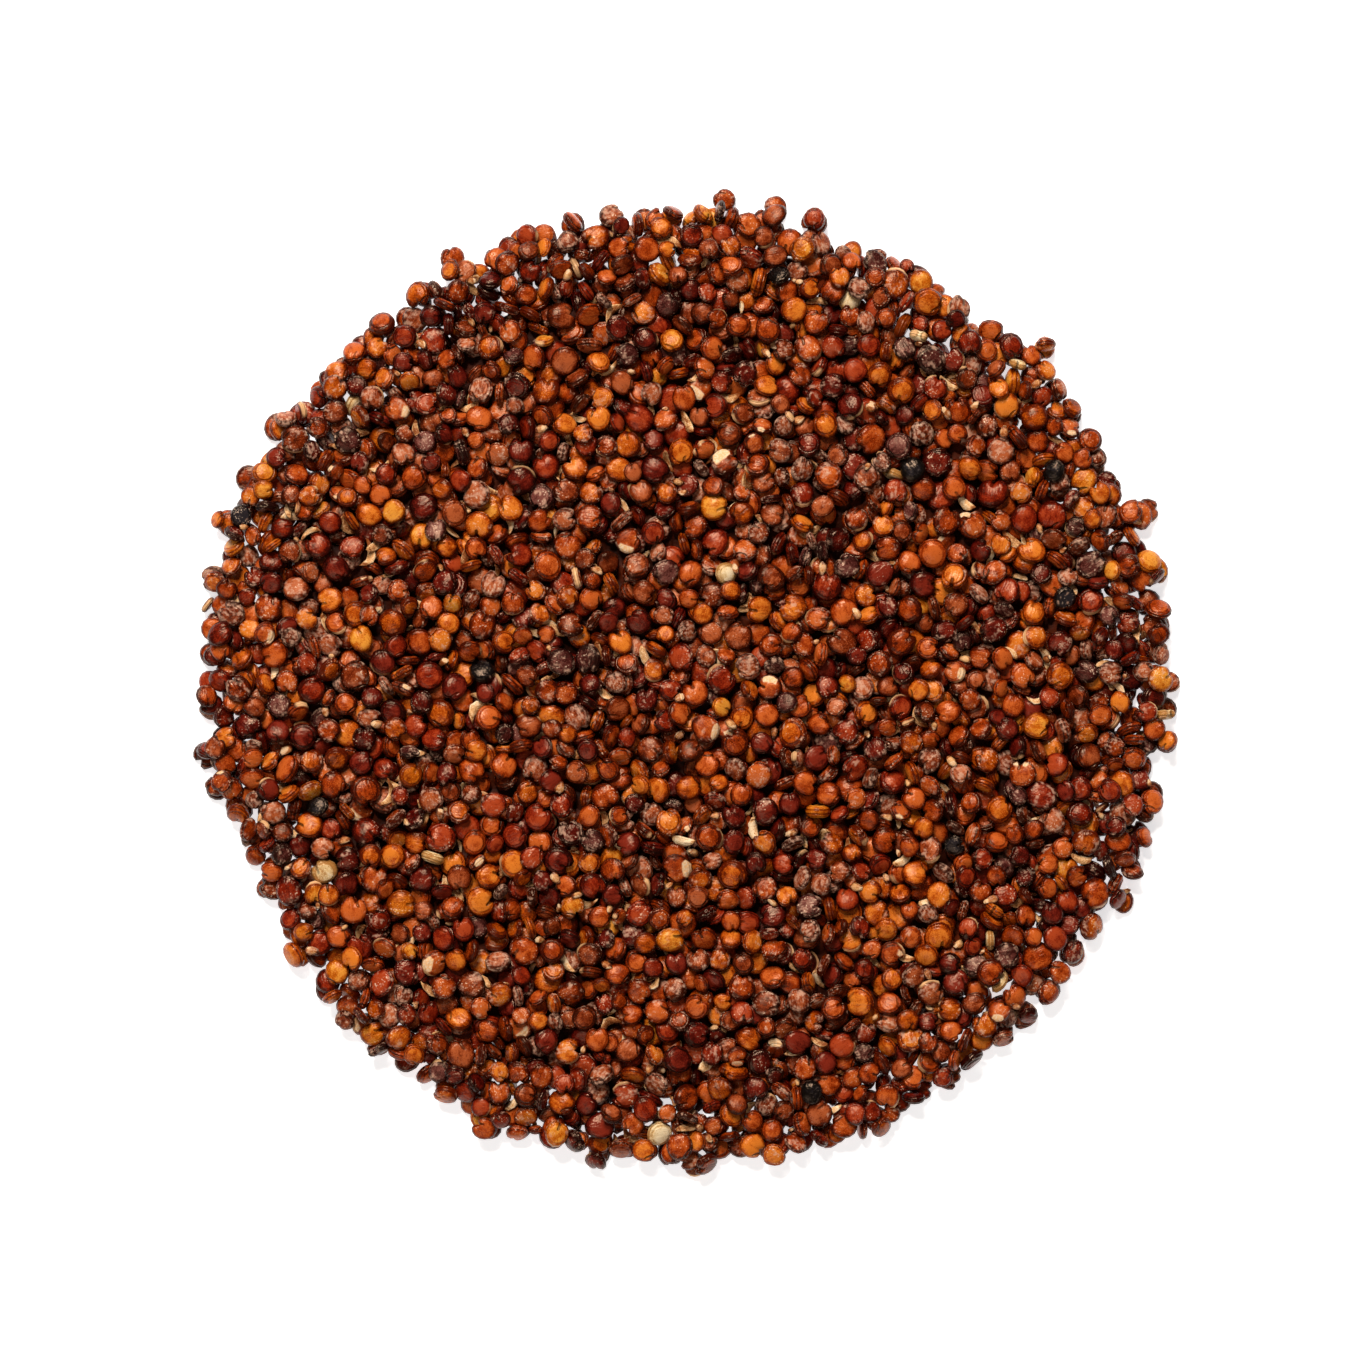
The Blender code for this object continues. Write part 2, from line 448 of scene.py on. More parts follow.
class Bed:
    """The heap while it is filled: the height over each cell, and which seed lies on top there."""

    def __init__(self):
        self.side = int(round(2.0 * BED_HALF / CELL))
        at = (np.arange(self.side) + 0.5) * CELL - BED_HALF
        self.x, self.y = (grid.ravel() for grid in np.meshgrid(at, at))
        self.depth = depth_at(self.x, self.y)
        self.cover = cover_height(self.depth)
        ground = np.where(self.depth > CORE_INSET, core_height(self.x, self.y), 0.0)
        box_x, box_y = (side / MM - BOX_SPARE for side in CAD_BOX[1][:2])
        out = (self.depth < -PROUD) | (np.abs(self.x) > box_x) | (np.abs(self.y) > box_y)
        self.height = np.where(out, BLOCKED, ground).astype(np.float32)
        self.seed = np.full(self.side ** 2, NO_SEED)
        steps = np.arange(-PATCH, PATCH + 1)
        step_x, step_y = (grid.ravel() for grid in np.meshgrid(steps, steps))
        self.patch = step_y * self.side + step_x
        self.patch_x, self.patch_y = step_x * CELL, step_y * CELL

    def cell(self, x, y):
        """Number of the cell that holds a place."""
        return int((y + BED_HALF) / CELL) * self.side + int((x + BED_HALF) / CELL)

    def room(self, turns, semi):
        """Lower and upper surface, over a patch of cells, of ellipsoids with semi-axes semi.

        With q the turned matrix of 1 / semi^2, a point is on the surface where p.q.p = 1, which is
        a quadratic in z over each cell.
        """
        q = (turns / semi ** 2) @ np.swapaxes(turns, -1, -2)
        x, y = self.patch_x, self.patch_y
        a = q[:, 2, 2, None]
        b = q[:, 0, 2, None] * x + q[:, 1, 2, None] * y
        c = q[:, 0, 0, None] * x * x + 2.0 * q[:, 0, 1, None] * x * y + q[:, 1, 1, None] * y * y
        inside = b * b - a * (c - 1.0)
        root = np.sqrt(np.maximum(inside, 0.0))
        low = np.where(inside > 0.0, (-b - root) / a, np.inf)
        high = np.where(inside > 0.0, (-b + root) / a, -np.inf)
        return low.astype(np.float32), high.astype(np.float32)

    def rest(self, cells, low):
        """Height of a seed's middle where it first touches, over each cell, one row a surface."""
        under = self.height[cells[:, None] + self.patch]
        return np.array([(under[:, row < np.inf] - row[row < np.inf]).max(axis=1) for row in low])

    def settle(self, rng, cell, turn, semi, rounds):
        """Let a seed slide and rock a little, keeping each change that lowers it."""
        low, high = self.room(turn[None], semi)
        best = (self.rest(np.array([cell]), low)[0, 0], cell, turn, low[0], high[0])
        rock, slide = ROCK, SLIDE
        for _ in range(rounds):
            _, cell, turn, _, _ = best
            axes = rng.normal(size=(ROCKS_TRIED, 3)) * ROCK_AXES
            axes /= np.linalg.norm(axes, axis=1)[:, None]
            rocks = turned(axes, rng.uniform(-rock, rock, ROCKS_TRIED))
            turns = np.concatenate((turn[None], rocks @ turn))
            moves = rng.integers(-slide, slide + 1, (2, SLIDES_TRIED))
            cells = cell + np.append(moves[0] * self.side + moves[1], 0)
            low, high = self.room(turns, semi)
            heights = self.rest(cells, low)
            i, j = np.unravel_index(np.argmin(heights), heights.shape)
            if heights[i, j] < best[0]:
                best = (heights[i, j], cells[j], turns[i], low[i], high[i])
            rock *= ROCK_SHRINK
            slide = max(1, slide - 1)
        return best

    def put(self, number, middle, cell, low, high):
        """Lay seed number down with its middle at that height."""
        solid = low < np.inf
        cells = cell + self.patch[solid]
        tops = middle + high[solid]
        higher = tops > self.height[cells]
        self.height[cells[higher]] = tops[higher]
        self.seed[cells[higher]] = number


def edge_places(rng):
    """Places and radii of the seeds along the edge, each just inside the outline.

    The bearing where the outline reaches farthest is taken first, and a seed that would lie too
    near another is left out.
    """
    bearings = np.radians(np.arange(0.0, 360.0, EDGE_STEP))
    reach = reach_at(bearings)
    places = []
    for i in np.argsort(-reach, kind="stable"):
        radius = rng.uniform(*EDGE_SIZES)
        from_middle = reach[i] - radius + EDGE_OUT
        x, y = from_middle * math.cos(bearings[i]), from_middle * math.sin(bearings[i])
        if all(math.hypot(x - px, y - py) > EDGE_NEAR * (radius + pr) for px, py, pr in places):
            places.append((x, y, radius))
    return places


def seed_semi(rng, radius):
    """Semi-axes of the room that a seed of this radius takes."""
    return radius * np.array([1.0, rng.uniform(*OVAL), rng.uniform(*THICKNESS)])


def resting_tilt(rng):
    """Tilt of a seed before it settles: some lie nearly flat, some lean, and some stand on edge."""
    draw = rng.random()
    if draw < FLAT_DRAW:
        return abs(rng.normal(0.0, FLAT_TILT))
    return rng.uniform(*(LEANING_TILT if draw < LEANING_DRAW else ON_EDGE_TILT))


def fill(rng, bed, laid, free, cover, sizes, misses_allowed):
    """Lay seeds over the free cells until too many in a row no longer fit under the cover.

    A seed may pass the cover by TOP_SPARE, and the more it leans by the more of LEANING_SPARE.
    """
    mean, spread, least, most = sizes
    rounds = ROUNDS
    misses = 0
    while misses < misses_allowed:
        semi = seed_semi(rng, float(np.clip(rng.normal(mean, spread), least, most)))
        turn = lying(rng, resting_tilt(rng))
        cells = rng.choice(free, CELLS_TRIED)
        low, _ = bed.room(turn[None], semi)
        above_cover = bed.rest(cells, low)[0] - cover[cells]
        middle, cell, turn, low, high = bed.settle(
            rng, cells[np.argmin(above_cover)], turn, semi, rounds
        )
        spare = TOP_SPARE + LEANING_SPARE * (1.0 - abs(turn[2, 2]))
        if middle + high.max() > cover[cell] + spare:
            misses += 1
            continue
        misses = 0
        bed.put(len(laid), middle, cell, low, high)
        laid.append(((bed.x[cell], bed.y[cell], middle), turn, semi))


def pack_heap(rng, bed):
    """Fill the heap, and return place, turn and semi-axes of each seed, and of each husk.

    The edge comes first, then the lower layers, husks on those, the top layer, small seeds on bare
    floor, and last some seeds over the gaps that are left.
    """
    laid = []
    for x, y, radius in edge_places(rng):
        semi = seed_semi(rng, radius)
        turn = lying(rng, abs(rng.normal(0.0, EDGE_TILT)))
        low, high = bed.room(turn[None], semi)
        cell = bed.cell(x, y)
        middle = -low[0][low[0] < np.inf].min()
        bed.put(len(laid), middle, cell, low[0], high[0])
        laid.append(((bed.x[cell], bed.y[cell], middle), turn, semi))
    inside = bed.depth > PACKED_INSIDE
    places = np.nonzero(inside)[0]
    fill(rng, bed, laid, places, bed.cover - HUSK_DEPTH, SEED_SIZES, GAP_MISSES_ALLOWED)
    husks = scatter(rng, bed, HUSK_COUNT, HUSK_RADIUS, HUSK_SEMI)
    fill(rng, bed, laid, places, bed.cover, SEED_SIZES, MISSES_ALLOWED)
    gaps = np.nonzero(inside & (bed.height <= 0.0))[0]
    low_cover = np.full(bed.side ** 2, GAP_TOP)
    fill(rng, bed, laid, gaps, low_cover, SMALL_SIZES, GAP_MISSES_ALLOWED)
    gaps = np.nonzero((bed.depth > GAPS_INSIDE) & (bed.height <= 0.0))[0]
    fill(rng, bed, laid, gaps, bed.cover + GAP_SPARE, SEED_SIZES, GAP_MISSES_ALLOWED)
    return laid, husks


def scatter(rng, bed, count, radii, shares):
    """Drop small scraps on the seeds, inside the box, and return them as pack_heap does."""
    free = np.nonzero(bed.depth > SCRAPS_INSIDE)[0]
    top = CAD_BOX[1][2] / MM
    laid = []
    while len(laid) < count:
        semi = rng.uniform(*radii) * np.array(shares)
        turn = lying(rng, abs(rng.normal(0.0, SCRAP_TILT)))
        middle, cell, turn, low, high = bed.settle(rng, rng.choice(free), turn, semi, SCRAP_ROUNDS)
        if middle + high.max() < top:
            bed.put(NO_SEED, middle, cell, low, high)
            laid.append(((bed.x[cell], bed.y[cell], middle), turn, semi))
    return laid


def choose_kinds(rng, bed, laid):
    """Kind of each seed, and which seeds show from above or at the side.

    Kinds are drawn by their shares. At each place of a rare kind, that kind takes the seed in good
    view whose distance, plus the pull times how flat the seed lies, is least.
    """
    numbers, cells = np.unique(bed.seed[bed.seed > NO_SEED], return_counts=True)
    places = np.array([place for place, _, _ in laid])[:, :2]
    showing = depth_at(*places.T) < SHOWING_DEPTH
    showing[numbers[cells >= SHOWING_CELLS]] = True

    names = list(KINDS)
    shares = np.array([KINDS[name][0] for name in names])
    kinds = np.array(names)[rng.choice(len(names), len(laid), p=shares / shares.sum())]
    plain = np.zeros(len(laid), bool)
    plain[numbers[cells >= RARE_CELLS]] = True
    facing_up = np.array([abs(turn[2, 2]) for _, turn, _ in laid])
    for name, (pixels, on_edge_pull) in RARE_KINDS.items():
        for pixel in pixels:
            away = np.hypot(*(places - photo_place(pixel)).T) + on_edge_pull * facing_up
            nearest = np.argmin(np.where(plain, away, np.inf))
            kinds[nearest] = name
            plain[nearest] = False
    return kinds, showing


def coat_grid(around, rings):
    """Angle and elevation of a seed's grid: lower pole, rings from below, upper pole.

    Angles are turn - k sin(turn), which crowds them near the cleft at angle 0.
    """
    turn = np.arange(around) * math.tau / around
    angle = turn - CLEFT_CROWDING * np.sin(turn)
    elevation = (np.arange(rings) + 1.0) / (rings + 1.0) * math.pi - 0.5 * math.pi
    angles = np.concatenate(([0.0], np.tile(angle, rings), [0.0]))
    elevations = np.concatenate(([-0.5 * math.pi], np.repeat(elevation, around), [0.5 * math.pi]))
    return angles, elevations


def closed_faces(around, rings):
    """Corners and sizes of a closed grid's faces: fans at both poles and bands between rings."""
    ring = 1 + np.arange(rings)[:, None] * around + np.arange(around)
    beside = np.roll(ring, -1, axis=1)
    lower = np.stack((np.zeros(around, int), beside[0], ring[0]), axis=1)
    bands = np.stack((ring[:-1], beside[:-1], beside[1:], ring[1:]), axis=-1).reshape(-1, 4)
    upper = np.stack((ring[-1], beside[-1], np.full(around, rings * around + 1)), axis=1)
    corners = np.concatenate((lower.ravel(), bands.ravel(), upper.ravel()))
    sizes = np.concatenate((np.full(around, 3), np.full(len(bands), 4), np.full(around, 3)))
    return corners, sizes


def bake_places(around, rings, count):
    """Bake map of joined seeds: the lower and the upper part of each coat fill a square each.

    A point lies at its angle round the square's middle, as far out as it lies from the pole.
    """
    angles, elevations = coat_grid(around, rings)
    corners, sizes = closed_faces(around, rings)
    band = (np.arange(len(sizes)) // around) >= (rings + 1) // 2
    upper = np.repeat(band, sizes)
    seam = elevations[around * ((rings + 1) // 2 - 1) + 1]
    right = 0.5 * math.pi
    from_pole = np.where(upper, right - elevations[corners], right + elevations[corners])
    out = from_pole / np.where(upper, right - seam, right + seam)
    across, along = np.cos(angles[corners]), np.sin(angles[corners])
    out = out / np.maximum(np.abs(across), np.abs(along))
    side = int(math.ceil(math.sqrt(2.0 * count)))
    square = 2 * np.arange(count)[:, None] + upper
    u = (square % side + 0.5 + BAKE_REACH * out * across) / side
    v = (square // side + 0.5 + BAKE_REACH * out * along) / side
    return np.stack((u, v), axis=-1)


def coat_shapes(rng, kind, turns, semi):
    """Numbers that make each seed's coat its own, by name, and its cutting plane.

    The plane faces up, give or take, and lies at a share of the reach of the lens that way, which
    is the root of fx^2 + fy^2 + (half fz)^2 for a plane that faces f.
    """
    count = len(semi)
    shapes = {
        "half": semi[:, 2] / semi[:, 0],
        "oval": semi[:, 1] / semi[:, 0],
        "cleft": rng.uniform(*CLEFT_DEPTH, count) * (rng.random(count) < CLEFT_SHARE),
        "beak": rng.uniform(*BEAK_REACH, count),
        "lump_two": rng.uniform(*LUMP_TWO, count),
        "lump_three": rng.uniform(*LUMP_THREE, count),
        "phase": rng.uniform(0.0, math.tau, count),
        "dish": rng.uniform(*DISH_DEPTH, count),
        "bend": np.zeros(count),
    }
    up = turns[:, 2, :] * np.where(rng.random(count) < 0.5, *CUT_UPWARD)[:, None]
    facing = up + rng.uniform(-CUT_SPREAD, CUT_SPREAD, (count, 3))
    facing /= np.linalg.norm(facing, axis=1)[:, None]
    reach = np.sqrt(facing[:, 0] ** 2 + facing[:, 1] ** 2 + (shapes["half"] * facing[:, 2]) ** 2)
    cut = reach * rng.uniform(*CUTS.get(kind, UNCUT), count)
    if kind in ("husk", "bit"):
        shapes["lump_three"] = rng.uniform(*SCRAP_LUMP_THREE, count)
        shapes["lump_two"] = rng.uniform(*SCRAP_LUMP_TWO, count)
        shapes["cleft"] = np.zeros(count)
    if kind == "husk":
        shapes["bend"] = rng.uniform(*HUSK_BEND, count)
    return shapes, facing, cut


def coat_points(shapes, facing, cut, around, rings):
    """Seeds as closed lenses in units of their radius: whole, and with what is cut off laid flat.

    At angle a and elevation e the plan radius is rim(a) cos(e)^PLAN_POWER and the height is
    half sin(e)^HEIGHT_POWER, less a dish at the poles and a pinch at the cleft. The rim is 1, with
    two slow lumps, less a notch at angle 0 and with a beak beside it. Points past the cutting
    plane move back to it along its normal, and a husk is bent up and sideways along x.
    """
    angles, elevations = coat_grid(around, rings)
    s = {name: column[:, None] for name, column in shapes.items()}
    near = np.remainder(angles + math.pi, math.tau) - math.pi
    level = np.cos(elevations).clip(0.0, 1.0)
    rim = 1.0 + s["lump_two"] * np.cos(2.0 * angles + s["phase"])
    rim = rim + s["lump_three"] * np.cos(3.0 * angles + 2.0 * s["phase"])
    rim = rim - s["cleft"] * np.exp(-((near / CLEFT_WIDTH) ** 2)) * level
    rim = rim + s["beak"] * np.exp(-(((near - BEAK_ANGLE) / BEAK_WIDTH) ** 2)) * level ** 3
    plan = rim * level ** PLAN_POWER
    height = s["half"] * np.sign(elevations) * np.abs(np.sin(elevations)) ** HEIGHT_POWER
    height = height * (1.0 - s["dish"] * np.exp(-((plan / DISH_WIDTH) ** 2)))
    height = height * (1.0 - PINCH * s["cleft"] * np.exp(-((near / PINCH_WIDTH) ** 2)) * level)
    whole = np.stack((plan * np.cos(angles), s["oval"] * plan * np.sin(angles), height), axis=-1)
    past = np.einsum("npi,ni->np", whole, facing) - cut[:, None]
    points = whole - np.maximum(past, 0.0)[..., None] * facing[:, None, :]
    points[..., 1:] += (s["bend"] * (points[..., 0] ** 2 - BEND_LEVEL))[..., None]
    return whole, points, past


def strengths(rng, marked, ends):
    """Strength of a mark, drawn between its ends where a seed is marked, and 0 on the others."""
    return np.where(marked, rng.uniform(*ends, len(marked)), 0.0)


def joined_mesh(name, points, corners, sizes, columns, bake):
    """One mesh of many closed shapes that share a grid.

    columns are vectors to keep on the points, by name, and bake, where there is one, is the bake
    map's place of each corner.
    """
    count, each = points.shape[:2]
    mesh = bpy.data.meshes.new(name)
    mesh.vertices.add(count * each)
    low, high = (np.array(corner) for corner in CAD_BOX)
    mesh.vertices.foreach_set("co", np.clip(points * MM, low, high).ravel())
    all_corners = (corners + each * np.arange(count)[:, None]).ravel()
    mesh.loops.add(len(all_corners))
    mesh.loops.foreach_set("vertex_index", all_corners)
    all_sizes = np.tile(sizes, count)
    mesh.polygons.add(len(all_sizes))
    mesh.polygons.foreach_set("loop_start", np.cumsum(all_sizes) - all_sizes)
    mesh.polygons.foreach_set("use_smooth", np.ones(len(all_sizes), bool))
    for column, values in columns.items():
        attribute = mesh.attributes.new(column, "FLOAT_VECTOR", "POINT")
        attribute.data.foreach_set("vector", np.ascontiguousarray(values, np.float32).ravel())
    if bake is not None:
        layer = mesh.uv_layers.new(name=BAKE_MAP)
        layer.uv.foreach_set("vector", bake.astype(np.float32).ravel())
    mesh.update(calc_edges=True)
    return mesh


def seed_piece(rng, name, kind, laid, grid):
    """A piece of all seeds of a kind, each in its place, with what its material reads.

    grain is the place on the whole coat. lot is tone, dust and a random number. marks are the
    strength of the cleft, of a pale crescent and of the ring on the face. cut is how far a point
    was past the cutting plane.
    """
    count = len(laid)
    places = np.array([place for place, _, _ in laid])
    turns = np.array([turn for _, turn, _ in laid])
    semi = np.array([semi for _, _, semi in laid])
    shapes, facing, cut = coat_shapes(rng, kind, turns, semi)
    whole, points, past = coat_points(shapes, facing, cut, *grid)
    points = np.einsum("nij,npj->npi", turns, points * semi[:, None, :1]) + places[:, None, :]
    points[..., 2] += np.maximum(-points[..., 2].min(axis=1), 0.0)[:, None]

    _, dust, _, _ = KINDS[kind]
    tone = rng.beta(TONE_BELL, TONE_BELL, count)
    lot = np.stack((tone, rng.uniform(*dust, count), rng.random(count)), axis=-1)
    cleft = strengths(rng, shapes["cleft"] > 0.0, CLEFT_STRENGTH)
    crescent = strengths(rng, rng.random(count) < CRESCENT_SHARE, CRESCENT_STRENGTH)
    ring = strengths(rng, rng.random(count) < RING_SHARE, RING_STRENGTH)
    marks = np.stack((cleft, crescent, ring), axis=-1)
    each = points.shape[1]
    columns = {
        "grain": whole,
        "lot": np.repeat(lot[:, None], each, axis=1),
        "marks": np.repeat(marks[:, None], each, axis=1),
        "cut": np.repeat(past[..., None], 3, axis=-1),
    }
    corners, sizes = closed_faces(*grid)
    mesh = joined_mesh(name, points, corners, sizes, columns, bake_places(*grid, count))
    mesh.materials.append(coat_material(kind))
    piece = bpy.data.objects.new(name, mesh)
    bpy.context.scene.collection.objects.link(piece)
    return piece


def core_piece():
    """The core under the seeds: a closed sheet on a polar grid, flat below and bumpy on top.

    Its rings are shares of the rim's reach, from the rim at floor level, up its edge and in to
    the middle, and the top lies at core_height.
    """
    bearings = np.arange(CORE_BEARINGS) * math.tau / CORE_BEARINGS
    share = np.arange(CORE_RINGS, 0, -1)[:, None] / CORE_RINGS
    reach = share * (reach_at(bearings) - CORE_INSET)
    x, y = reach * np.cos(bearings), reach * np.sin(bearings)
    top = np.stack((x, y, core_height(x, y)), axis=-1)
    foot = top[:1] * (1.0, 1.0, 0.0)
    rings = np.concatenate((foot, top)).reshape(-1, 3)
    peak = (0.0, 0.0, float(core_height(0.0, 0.0)))
    points = np.concatenate((((0.0, 0.0, 0.0),), rings, (peak,)))
    corners, sizes = closed_faces(CORE_BEARINGS, CORE_RINGS + 1)
    mesh = joined_mesh("heap_core", points[None], corners, sizes, {}, None)
    mesh.materials.append(core_material())
    piece = bpy.data.objects.new("heap_core", mesh)
    bpy.context.scene.collection.objects.link(piece)
    return piece


class Wiring:
    """Adds nodes to a tree. An input is either a plain value or the socket that feeds it."""

    def __init__(self, tree):
        self.tree = tree

    def node(self, kind, inputs=None, **settings):
        """A node with its settings made and its inputs fed, by their name or number."""
        made = self.tree.nodes.new(kind)
        for setting, value in settings.items():
            setattr(made, setting, value)
        for socket, value in (inputs or {}).items():
            if isinstance(value, bpy.types.NodeSocket):
                self.tree.links.new(value, made.inputs[socket])
            else:
                made.inputs[socket].default_value = value
        return made

    def math(self, operation, *values):
        """A sum, product or other operation on numbers."""
        return self.node("ShaderNodeMath", dict(enumerate(values)), operation=operation).outputs[0]

    def weighed(self, start, weights, values):
        """The start with each value added, times its weight."""
        total = start
        for name, weight in weights.items():
            total = self.math("MULTIPLY_ADD", values[name], weight, total)
        return total

    def vector(self, operation, *values):
        """An operation on vectors that gives a vector."""
        return self.node(
            "ShaderNodeVectorMath", dict(enumerate(values)), operation=operation
        ).outputs["Vector"]

    def distance(self, a, b):
        """Distance between two places."""
        return self.node("ShaderNodeVectorMath", {0: a, 1: b}, operation="DISTANCE").outputs["Value"]

    def parts(self, vector):
        """The three parts of a vector."""
        return self.node("ShaderNodeSeparateXYZ", {0: vector}).outputs

    def place(self, x, y, z):
        """A vector of three parts."""
        return self.node("ShaderNodeCombineXYZ", {0: x, 1: y, 2: z}).outputs[0]

    def ramp(self, value, off, on):
        """A smooth step, from 0 where value is off to 1 where it is on."""
        return self.node(
            "ShaderNodeMapRange", {0: value, 1: off, 2: on}, interpolation_type="SMOOTHSTEP"
        ).outputs[0]

    def noise(self, vector, scale, detail=2.0):
        """Smooth noise between about 0.2 and 0.8."""
        inputs = {"Vector": vector, "Scale": scale, "Detail": detail}
        return self.node("ShaderNodeTexNoise", inputs).outputs["Fac"]

    def mix(self, share, first, second):
        """A colour between two others."""
        return self.node(
            "ShaderNodeMix", {0: share, 6: first, 7: second}, data_type="RGBA"
        ).outputs[2]


def shader_group(name, inputs, outputs):
    """A new node group with named sockets, and its wiring, its inputs and its output node."""
    group = bpy.data.node_groups.new(name, "ShaderNodeTree")
    for socket, kind in inputs.items():
        group.interface.new_socket(socket, in_out="INPUT", socket_type=f"NodeSocket{kind}")
    for socket, kind in outputs.items():
        group.interface.new_socket(socket, in_out="OUTPUT", socket_type=f"NodeSocket{kind}")
    wire = Wiring(group)
    entry = wire.node("NodeGroupInput").outputs
    return group, wire, entry, wire.node("NodeGroupOutput").inputs


def put_out(group, result, values):
    """Feed a group's output sockets, by name."""
    for socket, value in values.items():
        group.links.new(value, result[socket])


def seed_marks_group():
    """Where the marks of a seed lie on its coat, as masks, with its wrinkles and its own place.

    The cleft is a line along x that hooks aside by the square of the distance from its root. The
    crescent is the part of the rim that faces a bearing of its own. The ring and the girdle lie at
    a distance from the axis and from the waist; the girdle is a groove whose mask also darkens the
    coat as painted shade. Dust is patches of noise times wrinkled flakes.
    Wrinkles are stretched noise, and the own place is the place on the coat, moved by the seed's
    random number so that no two seeds share their noise.
    """
    group, wire, entry, result = shader_group(
        "seed_marks",
        {"Grain": "Vector", "Lot": "Vector", "Marks": "Vector", "Cut": "Float"},
        {
            "Cleft": "Float", "Crescent": "Float", "Ring": "Float", "Dust": "Float",
            "Inside": "Float", "Girdle": "Float", "Wrinkles": "Float", "Own Place": "Vector",
        },
    )
    x, y, z = wire.parts(entry["Grain"])
    _, dust, number = wire.parts(entry["Lot"])
    cleft_share, crescent_share, ring_share = wire.parts(entry["Marks"])
    flat = wire.place(x, y, 0.0)
    far = wire.distance(flat, (0.0, 0.0, 0.0))

    hook = wire.math("MULTIPLY", wire.math("SUBTRACT", number, 0.5), CLEFT_HOOK)
    inward = wire.math("POWER", wire.math("SUBTRACT", CLEFT_ROOT, x), 2.0)
    aside = wire.math("SUBTRACT", y, wire.math("MULTIPLY", hook, inward))
    inner, outer = CLEFT_ENDS
    along = wire.math("MINIMUM", wire.math("MAXIMUM", x, inner), outer)
    from_cleft = wire.distance(wire.place(x, aside, 0.0), wire.place(along, 0.0, 0.0))
    cleft = wire.math("MULTIPLY", wire.ramp(from_cleft, *CLEFT_FADE), cleft_share)

    side = wire.math("MULTIPLY", number, math.tau)
    towards = wire.math(
        "ADD",
        wire.math("MULTIPLY", x, wire.math("COSINE", side)),
        wire.math("MULTIPLY", y, wire.math("SINE", side)),
    )
    on_side = wire.ramp(towards, *CRESCENT_SIDE)
    on_rim = wire.math("MULTIPLY", on_side, wire.ramp(far, *CRESCENT_RIM))
    crescent = wire.math("MULTIPLY", on_rim, crescent_share)

    off_ring = wire.math("ABSOLUTE", wire.math("SUBTRACT", far, RING_RADIUS))
    ring = wire.math("MULTIPLY", wire.ramp(off_ring, *RING_FADE), ring_share)
    off_girdle = wire.math("SUBTRACT", wire.math("ABSOLUTE", z), GIRDLE_LEVEL)
    girdle = wire.ramp(wire.math("ABSOLUTE", off_girdle), *GIRDLE_FADE)

    spread = wire.vector("MULTIPLY", wire.place(number, number, number), OWN_SPREAD)
    own = wire.vector("ADD", entry["Grain"], spread)
    wrinkles = wire.noise(wire.vector("MULTIPLY", own, WRINKLE_STRETCH), 1.0, FINE_DETAIL)
    patches = wire.math("ADD", wire.noise(own, PATCH_SCALE), wire.math("MULTIPLY", dust, PATCH_DUST))
    flakes = wire.noise(own, FLAKE_SCALE, FLAKE_DETAIL)
    flaking = wire.math("MULTIPLY_ADD", wrinkles, FLAKE_WRINKLES, flakes)
    grit = wire.ramp(flaking, *FLAKE_FADE)
    dusty = wire.math("MULTIPLY", wire.ramp(patches, *PATCH_FADE), grit)
    inside = wire.ramp(entry["Cut"], *INSIDE_FADE)
    values = {
        "Cleft": cleft, "Crescent": crescent, "Ring": ring, "Dust": dusty, "Inside": inside,
        "Girdle": girdle, "Wrinkles": wrinkles, "Own Place": own,
    }
    put_out(group, result, values)
    return group


